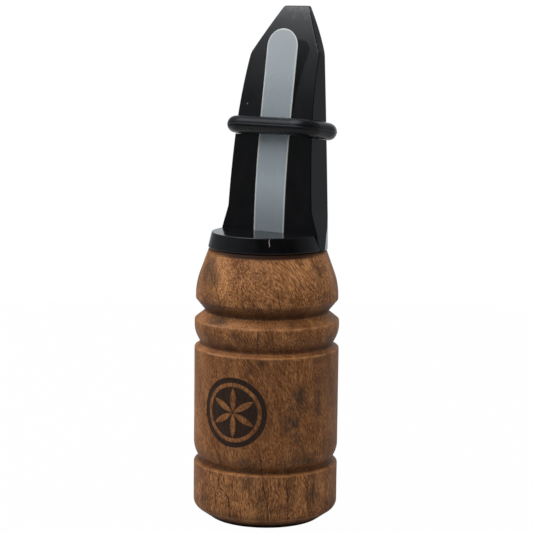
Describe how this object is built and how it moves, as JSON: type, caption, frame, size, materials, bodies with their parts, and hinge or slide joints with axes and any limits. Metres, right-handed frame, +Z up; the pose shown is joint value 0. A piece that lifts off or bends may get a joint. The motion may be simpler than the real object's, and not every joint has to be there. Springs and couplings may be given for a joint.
{
  "type": "open-reed mouth call",
  "caption": "Hand-held open-reed game and bird call: turned wooden barrel, plug-in moulded toneboard, flat plastic reed held by a rubber ring.",
  "frame": {"origin": "middle of the barrel's flat foot, on the surface that the call stands on", "axes": "+Z up the barrel's axis to the toneboard's tip, -Y out of the reed's face, +X across the reed"},
  "size_m": [0.03, 0.03, 0.106],
  "materials": {
    "wood": "oiled, mottled grain with burned decoration",
    "black_plastic": "semi-gloss moulded",
    "reed_film": "clear bluish polyester film",
    "black_rubber": "satin"
  },
  "bodies": {
    "barrel": {"barrel": "wood"},
    "stem_seals": {"stem_ring_upper": "black_rubber", "stem_ring_lower": "black_rubber"},
    "insert": {"toneboard": "black_plastic", "reed_tail": "reed_film", "reed_ring": "black_rubber"},
    "reed": {"reed_blade": "reed_film"}
  },
  "joints": [
    {"name": "insert_pull", "type": "slide", "parent": "barrel", "child": "stem_seals", "axis": [0, 0, 1], "range_m": [0, 0.021]},
    {"name": "insert_turn", "type": "hinge", "parent": "stem_seals", "child": "insert", "pos_m": [0, 0, 0.05], "axis": [0, 0, 1], "continuous": true},
    {"name": "reed_flex", "type": "hinge", "parent": "insert", "child": "reed", "pos_m": [0, 0.00138, 0.0817], "axis": [-1, 0, 0], "range_deg": [-5, 4], "stiffness_Nm_per_rad": 0.012}
  ]
}
